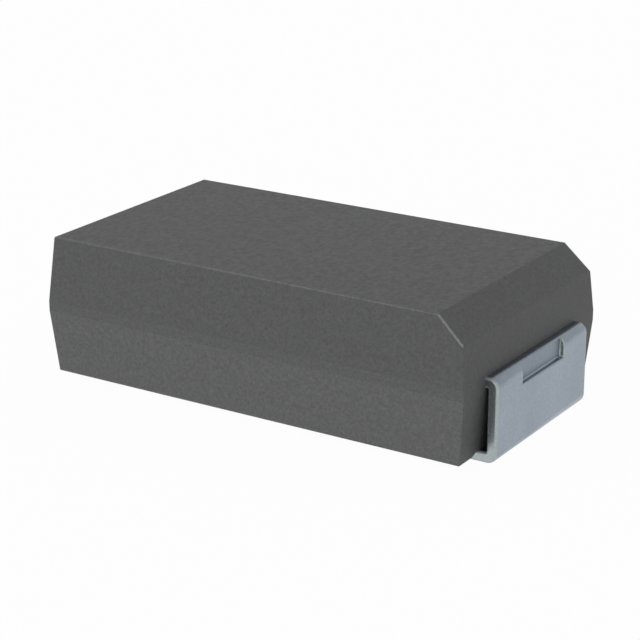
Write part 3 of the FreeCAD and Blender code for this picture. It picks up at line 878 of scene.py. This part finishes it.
class CAPACITOR_OT_finish_element(Operator):
    """Give the pellet, its coats, the wire, the washer and the bond their materials"""

    bl_idname = "capacitor.finish_element"
    bl_label = "Finish Element"

    def execute(self, context):
        """Coat each CAD node of the element."""
        look = context.scene.capacitor.finishes
        coat("tantalum_pellet", make_sintered_tantalum(look))
        coat("anode_wire", make_drawn_wire(look))
        coat("wire_washer", make_fluoropolymer(look))
        coat("manganese_coat", make_manganese_dioxide(look))
        coat("graphite_coat", make_graphite(look))
        coat("silver_coat", make_silver_paint(look))
        coat("silver_bond", make_silver_adhesive(look))
        return {"FINISHED"}


# --- studio ---


def seen_rays(tree):
    """Add up the rays that show the background: straight from the camera, reflected or let through."""
    path = add_node(tree, "ShaderNodeLightPath")
    some = add_node(
        tree, "ShaderNodeMath", {0: path["Is Camera Ray"], 1: path["Is Glossy Ray"]}, operation="MAXIMUM"
    )["Value"]
    return add_node(tree, "ShaderNodeMath", {0: some, 1: path["Is Transmission Ray"]}, operation="MAXIMUM")["Value"]


def make_paper(studio):
    """Matt white paper. Seen directly or in a reflection it is mostly its own white, so the part's shadow is faint."""
    material, tree, place = start_material("studio_paper")
    fibre = add_node(
        tree, "ShaderNodeTexNoise", {"Vector": place, "Scale": noise_scale(0.2 * MM), "Detail": 3.0}
    )["Fac"]
    white = add_node(
        tree, "ShaderNodeMix", {0: fibre, 6: opaque(studio.paper_grey), 7: opaque(studio.paper)}, data_type="RGBA"
    )[2]
    paper = add_node(tree, "ShaderNodeBsdfDiffuse", {"Color": white})["BSDF"]
    glow = add_node(tree, "ShaderNodeEmission", {"Color": WHITE})["Emission"]
    lift = add_node(tree, "ShaderNodeMath", {0: seen_rays(tree), 1: studio.paper_lift}, operation="MULTIPLY")["Value"]
    mixed = add_node(tree, "ShaderNodeMixShader", {0: lift, 1: paper, 2: glow})["Shader"]
    add_node(tree, "ShaderNodeOutputMaterial", {"Surface": mixed})
    return material


def hang_lamp(name, power, width, depth, place):
    """Hang one soft lamp and turn it to the part."""
    lamp = bpy.data.lights.new(name, "AREA")
    lamp.shape = "RECTANGLE"
    lamp.size, lamp.size_y = width, depth
    lamp.energy = power
    holder = bpy.data.objects.new(name, lamp)
    holder.location = place
    middle = Vector((0, 0, MM))
    holder.rotation_euler = (middle - Vector(place)).to_track_quat("-Z", "Y").to_euler()
    holder.visible_camera = False
    bpy.context.scene.collection.objects.link(holder)


class CAPACITOR_OT_set_stage(Operator):
    """Lay the paper, hang the lamps and set up the camera"""

    bl_idname = "capacitor.set_stage"
    bl_label = "Set Stage"

    def execute(self, context):
        """Build the studio round the part."""
        studio = context.scene.capacitor.studio
        self.lay_paper(studio)
        self.light_room(context, studio)
        self.set_camera(context, studio)
        return {"FINISHED"}

    @staticmethod
    def lay_paper(studio):
        """Lay a large sheet of paper just under the feet."""
        sheet = bpy.data.meshes.new("studio_floor")
        turns = ((-1, -1), (1, -1), (1, 1), (-1, 1))
        corners = [(x * PAPER_REACH, y * PAPER_REACH, PAPER_HEIGHT) for x, y in turns]
        sheet.from_pydata(corners, [], [(0, 1, 2, 3)])
        sheet.materials.append(make_paper(studio))
        floor = bpy.data.objects.new("studio_floor", sheet)
        bpy.context.scene.collection.objects.link(floor)

    @staticmethod
    def light_room(context, studio):
        """Set the even light of the room and what is seen of it, and hang the lamps."""
        room = bpy.data.worlds.new("studio_room")
        room.use_nodes = True
        tree = room.node_tree
        tree.nodes.clear()
        even = add_node(tree, "ShaderNodeBackground", {"Color": WHITE, "Strength": studio.sky})["Background"]
        direction = add_node(tree, "ShaderNodeTexCoord")["Generated"]
        height = add_node(tree, "ShaderNodeSeparateXYZ", {"Vector": direction})["Z"]
        # where it is seen, the white of the horizon fades overhead and once more towards the zenith
        fades = ((HORIZON, studio.overhead_from, studio.overhead), (studio.zenith_from, 1.0, studio.zenith))
        overhead, zenith = (
            add_node(
                tree,
                "ShaderNodeMapRange",
                {"Value": height, "From Min": start, "From Max": end, "To Min": 1.0, "To Max": left},
            )["Result"]
            for start, end, left in fades
        )
        seen = add_node(tree, "ShaderNodeMath", {0: overhead, 1: zenith}, operation="MULTIPLY")["Value"]
        white = add_node(tree, "ShaderNodeBackground", {"Color": WHITE, "Strength": seen})["Background"]
        mixed = add_node(tree, "ShaderNodeMixShader", {0: seen_rays(tree), 1: even, 2: white})["Shader"]
        add_node(tree, "ShaderNodeOutputWorld", {"Surface": mixed})
        context.scene.world = room
        for name, power, width, depth, place in LAMPS:
            hang_lamp(name, getattr(studio, power), width, depth, place)

    @staticmethod
    def set_camera(context, studio):
        """Stand the camera where the picture was taken from."""
        level, rise = math.cos(studio.elevation), math.sin(studio.elevation)
        back = Vector((math.sin(studio.azimuth) * level, -math.cos(studio.azimuth) * level, rise))
        right = Vector((math.cos(studio.azimuth), math.sin(studio.azimuth), 0))
        up = back.cross(right)
        lens = bpy.data.cameras.new("studio_camera")
        lens.sensor_width = 36.0
        lens.lens = studio.focal_length
        lens.shift_x, lens.shift_y = -studio.pixel_shift, studio.pixel_shift
        lens.clip_start, lens.clip_end = MM, 10.0
        camera = bpy.data.objects.new("studio_camera", lens)
        camera.matrix_world = Matrix.Translation(
            right * studio.aim_across + up * studio.aim_up + back * studio.distance
        ) @ Matrix((right, up, back)).transposed().to_4x4()
        context.scene.collection.objects.link(camera)
        context.scene.camera = camera
        context.scene.view_settings.view_transform = "Standard"


class CAPACITOR_PT_sidebar(Panel):
    """The tools and what they read"""

    bl_idname = "CAPACITOR_PT_sidebar"
    bl_label = "Tantalum Capacitor"
    bl_space_type = "VIEW_3D"
    bl_region_type = "UI"
    bl_category = "Capacitor"

    def draw(self, context):
        """List each operator over the settings that it reads."""
        settings = context.scene.capacitor
        groups = (
            ((CAPACITOR_OT_fold_terminals,), settings.terminals),
            ((CAPACITOR_OT_mould_case, CAPACITOR_OT_finish_element), settings.finishes),
            ((CAPACITOR_OT_set_stage,), settings.studio),
        )
        for tools, group in groups:
            box = self.layout.box()
            for tool in tools:
                box.operator(tool.bl_idname)
            for name in group.__annotations__:
                box.prop(group, name)


CLASSES = (
    TerminalSizes,
    Finishes,
    Studio,
    CapacitorSettings,
    CAPACITOR_OT_fold_terminals,
    CAPACITOR_OT_mould_case,
    CAPACITOR_OT_finish_element,
    CAPACITOR_OT_set_stage,
    CAPACITOR_PT_sidebar,
)


def register():
    """Register the classes and hang their settings on the scene."""
    for cls in CLASSES:
        bpy.utils.register_class(cls)
    bpy.types.Scene.capacitor = PointerProperty(type=CapacitorSettings)


def unregister():
    """Take everything that register added away again."""
    del bpy.types.Scene.capacitor
    for cls in reversed(CLASSES):
        bpy.utils.unregister_class(cls)


def main():
    """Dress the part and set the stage."""
    register()
    bpy.ops.capacitor.fold_terminals()
    bpy.ops.capacitor.mould_case()
    bpy.ops.capacitor.finish_element()
    bpy.ops.capacitor.set_stage()


if __name__ == "__main__":
    main()
